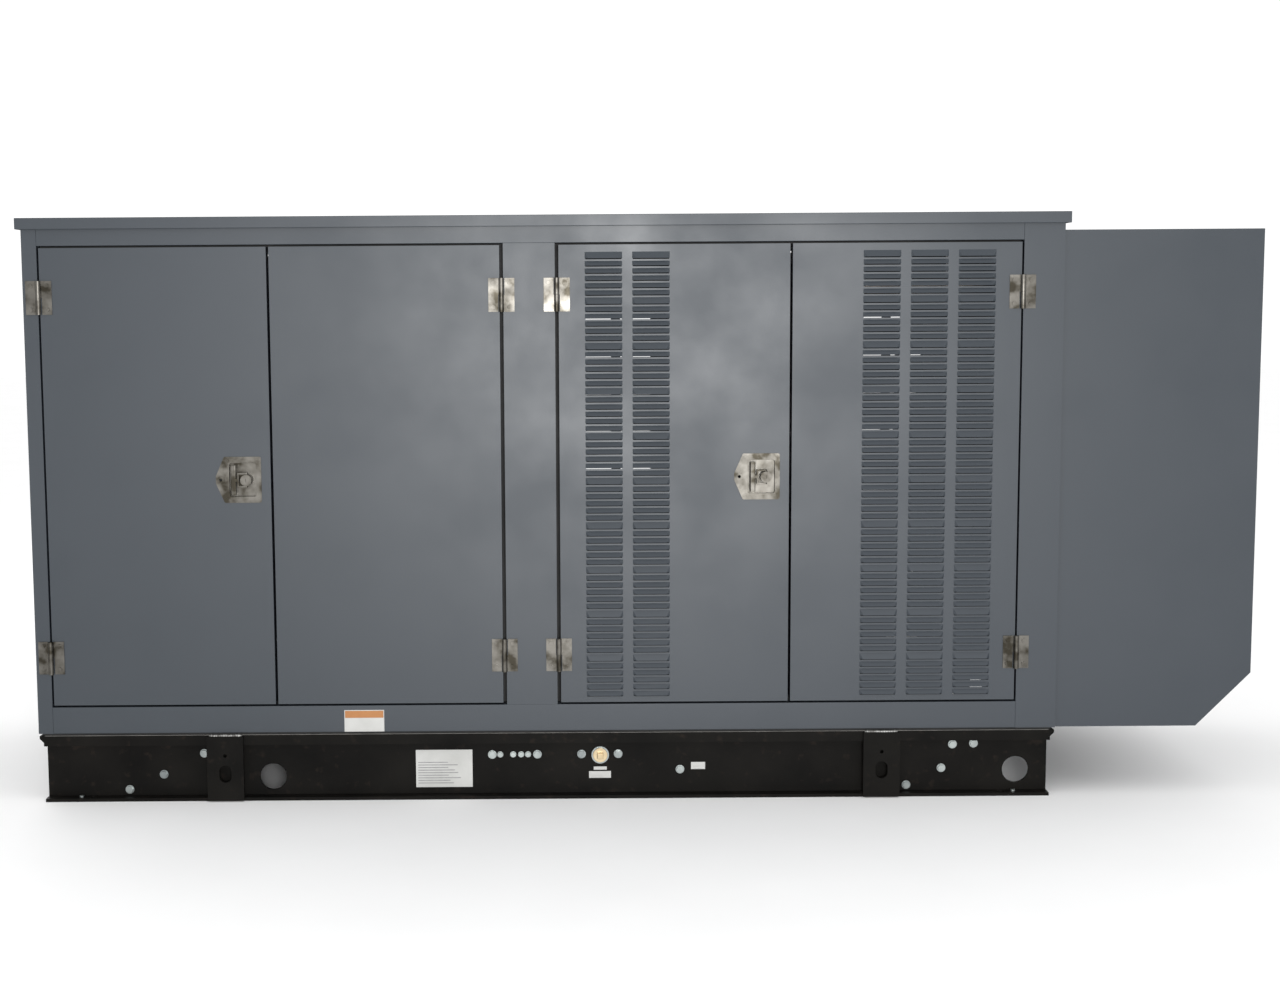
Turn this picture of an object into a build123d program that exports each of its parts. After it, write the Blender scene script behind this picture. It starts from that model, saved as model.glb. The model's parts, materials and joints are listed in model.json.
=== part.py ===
"""Enclosed standby generator set: base frame, louvred cabinet, hood, engine, alternator and controls.

Millimetres, +Z up, +X towards the discharge hood, front doors on the -Y side.
The origin is the centre of the four anchor holes, on the ground.
"""
import math
import os

from build123d import *

# ---- overall sizes ----
CABINET_LENGTH = 2784.0
CABINET_DEPTH = 1016.0
BASE_HEIGHT = 165.0
SILL_HEIGHT = 24.0
BASE_GASKET = 5.0
CABINET_HEIGHT = 1369.0
ROOF_LIP = 30.0
ROOF_OVERHANG = 13.0
HOOD_LENGTH = 535.0

# ---- sheet and section sizes ----
SHEET = 2.5
DOOR_SHEET = 2.0
DOOR_DEPTH = 40.0
POST_DEPTH = DOOR_DEPTH + 10
BOTTOM_RAIL = 73.5
TOP_RAIL = 44.0
LEFT_POST = 40.0
CENTRE_POST = 138.0
RIGHT_POST = 109.0
CENTRE_POST_X = -39.0
DOOR_GAP = 5.5
CENTRE_GAP = 10.0
LEAF_GAP = 7.0
DOOR_1_WIDTH = 606.0
DOOR_3_WIDTH = 619.0

# ---- base ----
BASE_END_INSET = 15.0
SILL_END_INSET = 4.0
SILL_CHAMFER = 12.0
RAIL_PROUD = 8.0
CHANNEL_DEPTH = 35.0
FLANGE = 9.0
WEB = 8.0
CROSS_WIDTH = 80.0
CROSS_WALL = 8.0
CROSS_FROM_LEFT = (150.0, 850.0)
CROSS_FROM_RIGHT = (1120.0, 510.0, 190.0)
ANCHOR_FROM_END = 127.0
ANCHOR_R = 9.0
LIFT_HOLE_R = 36.5
LIFT_HOLE_LEFT = (621.0, 59.0)
LIFT_HOLE_RIGHT = (85.0, 66.0)
BRACKET_FROM_LEFT = 497.0
BRACKET_FROM_RIGHT = 462.0
BRACKET_WIDTH = 100.0
BRACKET_THICK = 12.0
BRACKET_Z0 = 3.0
BRACKET_UNDER_SILL = 7.0
BRACKET_HOLE_R = 5.0
BRACKET_HOLE_Z = 129.0
EYE_WIDTH = 33.0
EYE_HEIGHT = 48.0
EYE_Z = 78.0
BOLTS_FROM_LEFT = ((319.5, 67.5), (224.0, 25.5), (432.0, 126.0))
BOLTS_MIDDLE = ((366.5, 72.5), (-151.0, 117.0), (-26.5, 117.0), (95.0, 117.0), (196.0, 117.0))
BOLTS_FROM_RIGHT = ((386.0, 24.5), (290.0, 71.5), (259.5, 138.0), (201.5, 140.0))
SMALL_BOLTS = ((-129.0, 117.0), (-93.5, 117.0), (-71.5, 117.0), (-52.5, 117.0))
FLANGE_BOLT_FROM_END = 95.0
PLUG_X = 146.5
PLUG_Z = 115.0

BOLT_R = 6.0
BOLT_CLEAR = 0.5
BOLT_HEAD_R = 12.0
SMALL_BOLT_R = 4.0
SMALL_HEAD_R = 8.5
FLANGE_BOLT_R = 3.5
FLANGE_HEAD_R = 6.5
BOLT_HEAD = 8.0
HEX_SHARE = 0.85
HEAD_FLANGE = 2.5
FLANGE_HEAD = 5.0
COUPLING_R = 24.0
PIPE_R = 17.0

# ---- hinges ----
HINGE_FROM_END = 132.0
HINGE_OUT = 8.0
HINGE_HEIGHT = 90.0
LEAF_WIDTH = 35.0
LEAF_THICK = 2.5
KNUCKLE_R = 7.0
PIN_R = 4.0
PIN_CLEAR = 0.05
KNUCKLE_GAP = 0.5
HINGE_SCREW_SPACING = 64.0
HINGE_SCREW_OUT = 22.0
SCREW_HEAD_R = 6.0
SCREW_HEAD = 3.0
SCREW_R = 3.0
SCREW_HOLE_R = 3.25
SCREW_LENGTH = 12.0

# ---- louvres ----
LOUVRE_WIDTH = 100.0
LOUVRE_PITCH = 19.4
LOUVRE_HEIGHT = 12.0
LOUVRE_TOP_HEIGHT = 17.0
LOUVRE_OPEN = 2.5
LOUVRE_OUT = 7.0
LOUVRE_WALL = 1.5
LOUVRE_END = 9.0
LOUVRE_GROUP = 121.0
LOUVRES_IN_GROUP = 6
LOUVRE_COLUMN = 127.0
LOUVRE_START = 18.0
LOUVRE_INSET_3 = 70.0
LOUVRE_INSET_4 = 69.0

# ---- latches ----
LATCH_ABOVE_SILL = 622.5
HUB_FROM_EDGE = 64.0
PLATE_WIDTH = 100.0
PLATE_HEIGHT = 125.0
PLATE_THICK = 2.0
PLATE_FROM_HUB = 39.0
NOSE = 23.0
DISH_WIDTH = 76.0
DISH_HEIGHT = 94.0
DISH_DEPTH = 15.0
DISH_CORNER = 8.0
PLATE_CORNER = 6.0
HUB_R = 15.0
SPINDLE_R = 8.0
RUN_CLEAR = 0.05
BAR_LENGTH = 80.0
BAR_WIDTH = 14.0
BAR_THICK = 8.0
BAR_OUT = 35.0
TONGUE_LENGTH = 100.0
TONGUE_THICK = 4.0
PLUG_R = 6.0

# ---- power unit ----
CRANK_ABOVE_BASE = 395.0
SHAFT_R = 35.0
BLOCK_TO_RADIATOR = 225.0
BLOCK_LENGTH = 640.0
BANK_ANGLE = 45.0
CYLINDERS = 4
BORE_R = 46.0
ALT_LENGTH = 770.0
BELL_LENGTH = 40.0
ALT_R = 240.0
ALT_WALL = 40.0
FAN_R = 330.0
FAN_ABOVE_CRANK = 230.0
FAN_TO_RADIATOR = 105.0
CRANK_PULLEY_R = 90.0
FAN_PULLEY_R = 72.0
PULLEY_WIDTH = 24.0
BELT = 9.0
BELT_CLEAR = 0.3
RADIATOR_FROM_END = 147.0
RADIATOR_THICK = 60.0
CORE_THICK = 20.0
RADIATOR_SIDE_GAP = 68.0
RADIATOR_ABOVE_BASE = 165.0
RADIATOR_UNDER_RAIL = 224.0

# ---- values that follow from the ones above ----
LEFT = -CABINET_LENGTH / 2
RIGHT = CABINET_LENGTH / 2
FRONT = -CABINET_DEPTH / 2
BACK = CABINET_DEPTH / 2
SILL_TOP = BASE_HEIGHT + SILL_HEIGHT
ROOF_LIP_Z = SILL_TOP + CABINET_HEIGHT
ROOF_TOP = ROOF_LIP_Z + ROOF_LIP
UNDER_ROOF = ROOF_TOP - SHEET
OPEN_Z0 = SILL_TOP + BOTTOM_RAIL
OPEN_Z1 = ROOF_LIP_Z - TOP_RAIL
DOOR_Z0 = OPEN_Z0 + DOOR_GAP
DOOR_Z1 = OPEN_Z1 - DOOR_GAP
RAIL_FRONT = FRONT - RAIL_PROUD
WEB_FRONT = RAIL_FRONT + CHANNEL_DEPTH
HALF_BASE = CABINET_LENGTH / 2 - BASE_END_INSET
HALF_SILL = CABINET_LENGTH / 2 - SILL_END_INSET
SILL_BAR_TOP = SILL_TOP - BASE_GASKET
CROSS_X = [-HALF_BASE + gap for gap in CROSS_FROM_LEFT] + [HALF_BASE - gap for gap in CROSS_FROM_RIGHT]
ANCHOR_X = HALF_BASE - ANCHOR_FROM_END
LIFT_HOLES = ((-HALF_BASE + LIFT_HOLE_LEFT[0], LIFT_HOLE_LEFT[1]),
              (HALF_BASE - LIFT_HOLE_RIGHT[0], LIFT_HOLE_RIGHT[1]))
BRACKET_X = (-HALF_BASE + BRACKET_FROM_LEFT, HALF_BASE - BRACKET_FROM_RIGHT)
FLANGE_BOLT_X = (FLANGE_BOLT_FROM_END - HALF_BASE, HALF_BASE - FLANGE_BOLT_FROM_END)
BASE_BOLTS = [(-HALF_BASE + gap, z) for gap, z in BOLTS_FROM_LEFT] + list(BOLTS_MIDDLE)
BASE_BOLTS += [(HALF_BASE - gap, z) for gap, z in BOLTS_FROM_RIGHT]
SIDE_Y = FRONT + POST_DEPTH
HINGE_Z = (DOOR_Z0 + HINGE_FROM_END, DOOR_Z1 - HINGE_FROM_END)
LATCH_Z = OPEN_Z0 + LATCH_ABOVE_SILL
LOUVRE_BANK_4 = LOUVRE_INSET_4 + 2 * LOUVRE_COLUMN + LOUVRE_WIDTH
DOOR_GROUPS = int((DOOR_Z1 - DOOR_Z0 - LOUVRE_START) // LOUVRE_GROUP)
REAR_GROUPS = DOOR_GROUPS - 1
CRANK_Z = BASE_HEIGHT + CRANK_ABOVE_BASE
FAN_Z = CRANK_Z + FAN_ABOVE_CRANK
RADIATOR_X = RIGHT - RADIATOR_FROM_END
RADIATOR_WIDTH = -2 * (SIDE_Y + RADIATOR_SIDE_GAP)
RADIATOR_Z0 = BASE_HEIGHT + RADIATOR_ABOVE_BASE
RADIATOR_HEIGHT = OPEN_Z1 - RADIATOR_UNDER_RAIL - RADIATOR_Z0
FAN_X = RADIATOR_X - FAN_TO_RADIATOR
BLOCK_X0 = RADIATOR_X - BLOCK_TO_RADIATOR - BLOCK_LENGTH
ALT_X0 = BLOCK_X0 - BELL_LENGTH - ALT_LENGTH
CENTRE_POST_X0 = CENTRE_POST_X - CENTRE_POST / 2
CENTRE_POST_X1 = CENTRE_POST_X + CENTRE_POST / 2
DOOR_1_X0 = LEFT + LEFT_POST + DOOR_GAP
DOOR_2_X1 = CENTRE_POST_X0 - CENTRE_GAP
DOOR_3_X0 = CENTRE_POST_X1 + CENTRE_GAP
DOOR_4_X1 = RIGHT - RIGHT_POST - DOOR_GAP
DOOR_1_X1 = DOOR_1_X0 + DOOR_1_WIDTH
DOOR_2_X0 = DOOR_1_X1 + LEAF_GAP
DOOR_3_X1 = DOOR_3_X0 + DOOR_3_WIDTH
DOOR_4_X0 = DOOR_3_X1 + LEAF_GAP
AXIS_Y = FRONT - HINGE_OUT
AXIS_OUT = DOOR_GAP / 2
CENTRE_AXIS_OUT = CENTRE_GAP / 2
BLOCK_X1 = BLOCK_X0 + BLOCK_LENGTH
HOOD_X1 = RIGHT + HOOD_LENGTH

os.makedirs("parts", exist_ok=True)


# ---- helpers ----
def block(x0, x1, y0, y1, z0, z1):
    """Box between two corners."""
    centre = ((x0 + x1) / 2, (y0 + y1) / 2, (z0 + z1) / 2)
    return Pos(*centre) * Box(x1 - x0, y1 - y0, z1 - z0)


def rod(axis, radius, centre, length):
    """Cylinder along axis, starting at the point centre."""
    turn = {"x": (0, 90, 0), "y": (-90, 0, 0), "z": (0, 0, 0)}[axis]
    bottom = (Align.CENTER, Align.CENTER, Align.MIN)
    return Pos(*centre) * (Rot(*turn) * Cylinder(radius, length, align=bottom))


def prism(plane, points, depth):
    """Closed outline on a plane, pushed along its normal."""
    return extrude(plane * make_face(Polyline(*points, close=True)), depth)


def tube(x0, x1, y0, y1, z0, z1, wall, open_axis):
    """Rectangular tube, open at both ends along open_axis."""
    inner = {"x": (x0, x1, y0 + wall, y1 - wall, z0 + wall, z1 - wall),
             "y": (x0 + wall, x1 - wall, y0, y1, z0 + wall, z1 - wall),
             "z": (x0 + wall, x1 - wall, y0 + wall, y1 - wall, z0, z1)}[open_axis]
    return block(x0, x1, y0, y1, z0, z1) - block(*inner)


def mirror_y(shape):
    return mirror(shape, about=Plane.XZ)


def save(name, *shapes):
    """Write one node; several shapes stay separate solids."""
    shape = shapes[0] if len(shapes) == 1 else Compound(children=list(shapes))
    export_step(shape, f"parts/{name}.step")


def louvre(height):
    """One hood with sloping ends, and the slot inside it, for a sheet whose front face is y = 0."""
    slope = height / LOUVRE_OUT
    back = 2 * DOOR_SHEET
    top = height - LOUVRE_WALL * math.hypot(1, slope)
    side = Plane(origin=(0, 0, 0), x_dir=(0, 1, 0), z_dir=(1, 0, 0))
    under = Plane(origin=(0, 0, -LOUVRE_OPEN - 1), x_dir=(1, 0, 0), z_dir=(0, 0, 1))
    tall = height + LOUVRE_OPEN + 2
    end = LOUVRE_WIDTH - LOUVRE_END
    hood = prism(side, [(0, 0), (0, height), (-LOUVRE_OUT, 0)], LOUVRE_WIDTH)
    hood &= prism(under, [(0, 0), (LOUVRE_WIDTH, 0), (end, -LOUVRE_OUT), (LOUVRE_END, -LOUVRE_OUT)], tall)
    slot = prism(side, [(-top / slope, -LOUVRE_OPEN), (-top / slope, 0), (0, top), (back, top),
                        (back, -LOUVRE_OPEN)], LOUVRE_WIDTH)
    slot &= prism(under, [(LOUVRE_WALL, back), (LOUVRE_WIDTH - LOUVRE_WALL, back),
                          (LOUVRE_WIDTH - LOUVRE_WALL, 0), (end - LOUVRE_WALL, -LOUVRE_OUT),
                          (LOUVRE_END + LOUVRE_WALL, -LOUVRE_OUT), (LOUVRE_WALL, 0)], tall)
    return hood, slot


def louvre_bank(x0, columns, z0, groups):
    """Hoods to add to, and slots to cut from, a sheet whose front face is the plane y = 0."""
    plain = louvre(LOUVRE_HEIGHT)
    topmost = louvre(LOUVRE_TOP_HEIGHT)
    hoods = []
    slots = []
    for column in range(columns):
        for group in range(groups):
            for number in range(LOUVRES_IN_GROUP):
                hood, slot = topmost if number == LOUVRES_IN_GROUP - 1 else plain
                place = Pos(x0 + column * LOUVRE_COLUMN, 0, z0 + group * LOUVRE_GROUP + number * LOUVRE_PITCH)
                hoods.append(place * hood)
                slots.append(place * slot)
    return hoods, slots


# ---- base frame ----
def base_rail():
    """Front rail: an outward-facing channel with the sill bar welded on top."""
    rail = block(-HALF_BASE, HALF_BASE, RAIL_FRONT, WEB_FRONT + WEB, 0, BASE_HEIGHT)
    rail -= block(-HALF_BASE, HALF_BASE, RAIL_FRONT, WEB_FRONT, FLANGE, BASE_HEIGHT - FLANGE)
    sill_plane = Plane(origin=(0, RAIL_FRONT, 0), x_dir=(1, 0, 0), z_dir=(0, -1, 0))
    low = HALF_SILL - SILL_CHAMFER
    shoulder = BASE_HEIGHT + SILL_CHAMFER
    outline = [(-low, BASE_HEIGHT), (low, BASE_HEIGHT), (HALF_SILL, shoulder), (HALF_SILL, SILL_BAR_TOP),
               (-HALF_SILL, SILL_BAR_TOP), (-HALF_SILL, shoulder)]
    rail += prism(sill_plane, outline, -CHANNEL_DEPTH - WEB)
    flange_y = (RAIL_FRONT + WEB_FRONT) / 2
    cuts = [rod("z", ANCHOR_R, (x, flange_y, -1), FLANGE + 2) for x in (-ANCHOR_X, ANCHOR_X)]
    cuts += [rod("y", LIFT_HOLE_R, (x, WEB_FRONT - 1, z), WEB + 2) for x, z in LIFT_HOLES]
    cuts += [rod("y", BOLT_R + BOLT_CLEAR, (x, WEB_FRONT - 1, z), WEB + 2) for x, z in BASE_BOLTS]
    cuts += [rod("y", SMALL_BOLT_R + BOLT_CLEAR, (x, WEB_FRONT - 1, z), WEB + 2) for x, z in SMALL_BOLTS]
    cuts += [rod("z", FLANGE_BOLT_R + BOLT_CLEAR, (x, flange_y, -1), FLANGE + 2) for x in FLANGE_BOLT_X]
    return rail.cut(*cuts)


def bolt(x, z, shank_r, head_r):
    """Hexagon flange bolt through the web, with its nut behind."""
    hexagon = RegularPolygon(head_r * HEX_SHARE, 6)
    front = Plane(origin=(x, WEB_FRONT, z), x_dir=(1, 0, 0), z_dir=(0, -1, 0))
    back = Plane(origin=(x, WEB_FRONT + WEB, z), x_dir=(1, 0, 0), z_dir=(0, 1, 0))
    head = extrude(front * Circle(head_r), HEAD_FLANGE)
    head += extrude(front * hexagon, BOLT_HEAD)
    nut = extrude(back * hexagon, BOLT_HEAD)
    shank = rod("y", shank_r, (x, WEB_FRONT - 1, z), WEB + BOLT_HEAD + 4)
    return head + shank + nut


def flange_bolt(x):
    """Small bolt standing in the bottom flange, flush with its underside."""
    y = (RAIL_FRONT + WEB_FRONT) / 2
    head = rod("z", FLANGE_HEAD_R, (x, y, FLANGE), FLANGE_HEAD)
    return head + rod("z", FLANGE_BOLT_R, (x, y, 0), FLANGE + 1)


front_rail = base_rail()
coupling_hole = rod("y", COUPLING_R, (PLUG_X, WEB_FRONT - 1, PLUG_Z), WEB + 2)
rear_rail = mirror_y(front_rail)
front_rail -= coupling_hole
save("base_rail_front", front_rail)
save("base_rail_rear", rear_rail)

CROSS_Y = -(WEB_FRONT + WEB)
cross_members = [tube(x - CROSS_WIDTH / 2, x + CROSS_WIDTH / 2, -CROSS_Y, CROSS_Y,
                      FLANGE, BASE_HEIGHT, CROSS_WALL, "y") for x in CROSS_X]
save("base_cross_members", *cross_members)

brackets = []
for x in BRACKET_X:
    plate = block(x - BRACKET_WIDTH / 2, x + BRACKET_WIDTH / 2, RAIL_FRONT - BRACKET_THICK, RAIL_FRONT,
                  BRACKET_Z0, SILL_TOP - BRACKET_UNDER_SILL)
    eye_plane = Plane(origin=(x, RAIL_FRONT - BRACKET_THICK - 1, EYE_Z), x_dir=(0, 0, 1), z_dir=(0, 1, 0))
    plate -= extrude(eye_plane * SlotOverall(EYE_HEIGHT, EYE_WIDTH), BRACKET_THICK + 2)
    plate -= rod("y", BRACKET_HOLE_R, (x, RAIL_FRONT - BRACKET_THICK - 1, BRACKET_HOLE_Z), BRACKET_THICK + 2)
    brackets += [plate, mirror_y(plate)]
save("lifting_brackets", *brackets)

bolts = [bolt(x, z, BOLT_R, BOLT_HEAD_R) for x, z in BASE_BOLTS]
bolts += [bolt(x, z, SMALL_BOLT_R, SMALL_HEAD_R) for x, z in SMALL_BOLTS]
bolts += [flange_bolt(x) for x in FLANGE_BOLT_X]
save("base_bolts", *bolts, *[mirror_y(one) for one in bolts])

coupling = rod("y", COUPLING_R, (PLUG_X, WEB_FRONT - 6, PLUG_Z), 46)
coupling -= rod("y", PIPE_R, (PLUG_X, WEB_FRONT - 7, PLUG_Z), 48)
save("fuel_inlet_coupling", coupling)
pipe_plug = rod("y", PIPE_R, (PLUG_X, WEB_FRONT - 6, PLUG_Z), 18)
pipe_plug += rod("y", PIPE_R + 3, (PLUG_X, WEB_FRONT - 11, PLUG_Z), 5)
pipe_plug += block(PLUG_X - 8, PLUG_X + 8, WEB_FRONT - 24, WEB_FRONT - 11, PLUG_Z - 8, PLUG_Z + 8)
save("fuel_inlet_plug", pipe_plug)


# ---- cabinet frame ----
def cabinet_posts():
    front = [tube(LEFT, LEFT + LEFT_POST, FRONT, SIDE_Y, SILL_TOP, UNDER_ROOF, SHEET, "z"),
             tube(CENTRE_POST_X0, CENTRE_POST_X1, FRONT, SIDE_Y, OPEN_Z0, OPEN_Z1, SHEET, "z"),
             tube(RIGHT - RIGHT_POST, RIGHT, FRONT, SIDE_Y, SILL_TOP, UNDER_ROOF, SHEET, "z")]
    holes = []
    for axis_x, side in ((HINGE_1_X, -1), (HINGE_2_X, 1), (HINGE_3_X, -1), (HINGE_4_X, 1)):
        for z in hinge_screw_heights():
            x = axis_x + side * HINGE_SCREW_OUT
            holes.append(rod("y", SCREW_HOLE_R, (x, FRONT - 1, z), SHEET + 2))
    return front, holes


def hinge_screw_heights():
    half = HINGE_SCREW_SPACING / 2
    return [z + offset for z in HINGE_Z for offset in (-half, half)]


HINGE_1_X = DOOR_1_X0 - AXIS_OUT
HINGE_2_X = DOOR_2_X1 + CENTRE_AXIS_OUT
HINGE_3_X = DOOR_3_X0 - CENTRE_AXIS_OUT
HINGE_4_X = DOOR_4_X1 + AXIS_OUT

plain_posts, post_holes = cabinet_posts()
front_posts = [post.cut(*post_holes) for post in plain_posts]
save("cabinet_posts", *front_posts, *[mirror_y(post) for post in plain_posts])

rail_x = (LEFT + LEFT_POST, RIGHT - RIGHT_POST)
bottom_front = tube(*rail_x, FRONT, SIDE_Y, SILL_TOP, OPEN_Z0, SHEET, "x")
top_front = tube(*rail_x, FRONT, SIDE_Y, OPEN_Z1, UNDER_ROOF, SHEET, "x")
side_rails = []
for x0, x1 in ((LEFT, LEFT + LEFT_POST), (RIGHT - LEFT_POST, RIGHT)):
    for z0, z1 in ((SILL_TOP, OPEN_Z0), (OPEN_Z1, UNDER_ROOF)):
        side_rails.append(tube(x0, x1, SIDE_Y, -SIDE_Y, z0, z1, SHEET, "y"))
save("cabinet_rails", bottom_front, top_front, mirror_y(bottom_front), mirror_y(top_front), *side_rails)


def pan(x0, x1, y0, y1, z0, z1, wall, face):
    """Folded tray: a face sheet on the y0 side and four returns."""
    return block(x0, x1, y0, y1, z0, z1) - block(x0 + wall, x1 - wall, y0 + wall, y1, z0 + wall, z1 - wall)


def louvred(panel, x0, columns, z0, groups):
    """Panel whose front face is at FRONT, with louvre columns punched in it."""
    hoods, slots = louvre_bank(x0, columns, z0, groups)
    place = Pos(0, FRONT, 0)
    return panel.fuse(*[place * hood for hood in hoods]).cut(*[place * slot for slot in slots])


# left end: a tray with an intake louvre bank
END_GROUPS = 4
END_WIDTH = -2 * SIDE_Y
end_flat = pan(-END_WIDTH / 2, END_WIDTH / 2, FRONT, FRONT + 30, OPEN_Z0, OPEN_Z1, SHEET, "y")
end_flat = louvred(end_flat, -LOUVRE_COLUMN * 1.5 + (LOUVRE_COLUMN - LOUVRE_WIDTH) / 2, 3,
                   OPEN_Z0 + 60, END_GROUPS)
left_end = Pos(LEFT - FRONT, 0, 0) * Rot(0, 0, -90) * end_flat
save("left_end_panel", left_end)

# right end: four strips round the radiator opening
OUTLET_LIP = 20.0
OUTLET_HALF = RADIATOR_WIDTH / 2 - OUTLET_LIP / 2
OUTLET_Z0 = RADIATOR_Z0 + OUTLET_LIP
OUTLET_Z1 = RADIATOR_Z0 + RADIATOR_HEIGHT - OUTLET_LIP
end_x = (RIGHT - SHEET, RIGHT)
strips = [block(*end_x, SIDE_Y, -OUTLET_HALF, OPEN_Z0, OPEN_Z1),
          block(*end_x, OUTLET_HALF, -SIDE_Y, OPEN_Z0, OPEN_Z1),
          block(*end_x, -OUTLET_HALF, OUTLET_HALF, OPEN_Z0, OUTLET_Z0),
          block(*end_x, -OUTLET_HALF, OUTLET_HALF, OUTLET_Z1, OPEN_Z1)]
EXHAUST_R = 38.0
EXHAUST_Z = OPEN_Z1 - 114.0
EXHAUST_HOLE_R = 50.0
strips[3] -= rod("x", EXHAUST_HOLE_R, (RIGHT - 10, 0, EXHAUST_Z), 20)
save("right_end_surround", *strips)

roof = block(LEFT - ROOF_OVERHANG, RIGHT + ROOF_OVERHANG, FRONT - ROOF_OVERHANG, BACK + ROOF_OVERHANG,
             ROOF_LIP_Z, ROOF_TOP)
roof -= block(LEFT - ROOF_OVERHANG + SHEET, RIGHT + ROOF_OVERHANG - SHEET, FRONT - ROOF_OVERHANG + SHEET,
              BACK + ROOF_OVERHANG - SHEET, ROOF_LIP_Z, UNDER_ROOF)
save("roof_panel", roof)

# rear: two plain and two louvred panels, screwed to the posts
rear_spans = ((DOOR_1_X0, DOOR_1_X1), (DOOR_2_X0, DOOR_2_X1), (DOOR_3_X0, DOOR_3_X1), (DOOR_4_X0, DOOR_4_X1))
rear_solids = []
for x0, x1 in rear_spans:
    rear_solids.append(pan(x0, x1, FRONT, FRONT + DOOR_DEPTH, DOOR_Z0, DOOR_Z1, DOOR_SHEET, "y"))
# half a pitch higher than the doors' louvres, so fewer of them line up through the cabinet
rear_z0 = DOOR_Z0 + LOUVRE_START + LOUVRE_PITCH / 2
rear_solids[2] = louvred(rear_solids[2], DOOR_3_X0 + LOUVRE_INSET_3, 2, rear_z0, REAR_GROUPS)
rear_solids[3] = louvred(rear_solids[3], DOOR_4_X1 - LOUVRE_BANK_4, 3, rear_z0, REAR_GROUPS)

# cover strips hold the rear panels to the frame from outside
STRIP_WIDTH = 30.0
cover_strips = []
for x0, x1 in ((DOOR_1_X1, DOOR_2_X0), (DOOR_3_X1, DOOR_4_X0)):
    middle = (x0 + x1) / 2
    cover_strips.append(block(middle - STRIP_WIDTH / 2, middle + STRIP_WIDTH / 2, BACK, BACK + SHEET,
                              OPEN_Z0 - 20, OPEN_Z1 + 20))
save("rear_panels", *[mirror_y(one) for one in rear_solids], *cover_strips)

# bulb strips on the inner faces of the door openings, and a gasket between sill and cabinet
SEAL = 12.0
GASKET_INSET = 6.0
seal_y = FRONT + DOOR_DEPTH + 3
seals = []
for left, right in ((LEFT + LEFT_POST, CENTRE_POST_X0), (CENTRE_POST_X1, RIGHT - RIGHT_POST)):
    seals += [block(left, left + SEAL, seal_y, seal_y + 6, OPEN_Z0, OPEN_Z1),
              block(right - SEAL, right, seal_y, seal_y + 6, OPEN_Z0, OPEN_Z1),
              block(left + SEAL, right - SEAL, seal_y, seal_y + 6, OPEN_Z1 - SEAL, OPEN_Z1),
              block(left + SEAL, right - SEAL, seal_y, seal_y + 6, OPEN_Z0, OPEN_Z0 + SEAL)]
gasket = block(-HALF_SILL + GASKET_INSET, HALF_SILL - GASKET_INSET, FRONT + GASKET_INSET,
               SIDE_Y - GASKET_INSET, SILL_BAR_TOP, SILL_TOP)
save("seals", *seals, gasket, mirror_y(gasket))

# ---- discharge hood ----
HOOD_Y = FRONT + 10
HOOD_TOP = SILL_TOP + 1351.0
HOOD_CUT = 147.0
hood_outline = [(RIGHT, SILL_TOP), (HOOD_X1 - HOOD_CUT, SILL_TOP), (HOOD_X1, SILL_TOP + HOOD_CUT),
                (HOOD_X1, HOOD_TOP), (RIGHT, HOOD_TOP)]
side_plane = Plane(origin=(0, HOOD_Y, 0), x_dir=(1, 0, 0), z_dir=(0, -1, 0))
hood_front = prism(side_plane, hood_outline, -SHEET)
inner_y = HOOD_Y + SHEET
corner = SHEET * math.tan(math.radians(22.5))
wrap_plane = Plane(origin=(0, -inner_y, 0), x_dir=(1, 0, 0), z_dir=(0, -1, 0))
knee_x = HOOD_X1 - HOOD_CUT
knee_z = SILL_TOP + HOOD_CUT
bottom_panel = prism(wrap_plane, [(RIGHT, SILL_TOP), (knee_x, SILL_TOP), (knee_x - corner, SILL_TOP + SHEET),
                                  (RIGHT, SILL_TOP + SHEET)], -2 * inner_y)
slope_panel = prism(wrap_plane, [(knee_x, SILL_TOP), (HOOD_X1, knee_z), (HOOD_X1 - SHEET, knee_z + corner),
                                 (knee_x - corner, SILL_TOP + SHEET)], -2 * inner_y)
end_panel = prism(wrap_plane, [(HOOD_X1, knee_z), (HOOD_X1, HOOD_TOP), (HOOD_X1 - SHEET, HOOD_TOP),
                               (HOOD_X1 - SHEET, knee_z + corner)], -2 * inner_y)
save("hood_panels", hood_front, mirror_y(hood_front), bottom_panel, slope_panel, end_panel)
BLADES = 13
blade_pitch = (HOOD_LENGTH - 30) / BLADES
blades = []
for number in range(BLADES):
    x = RIGHT + 15 + (number + 0.5) * blade_pitch
    blades.append(block(x - 1.5, x + 1.5, inner_y, -inner_y, HOOD_TOP - 35, HOOD_TOP - 5))
save("hood_outlet_blades", *blades)


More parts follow.
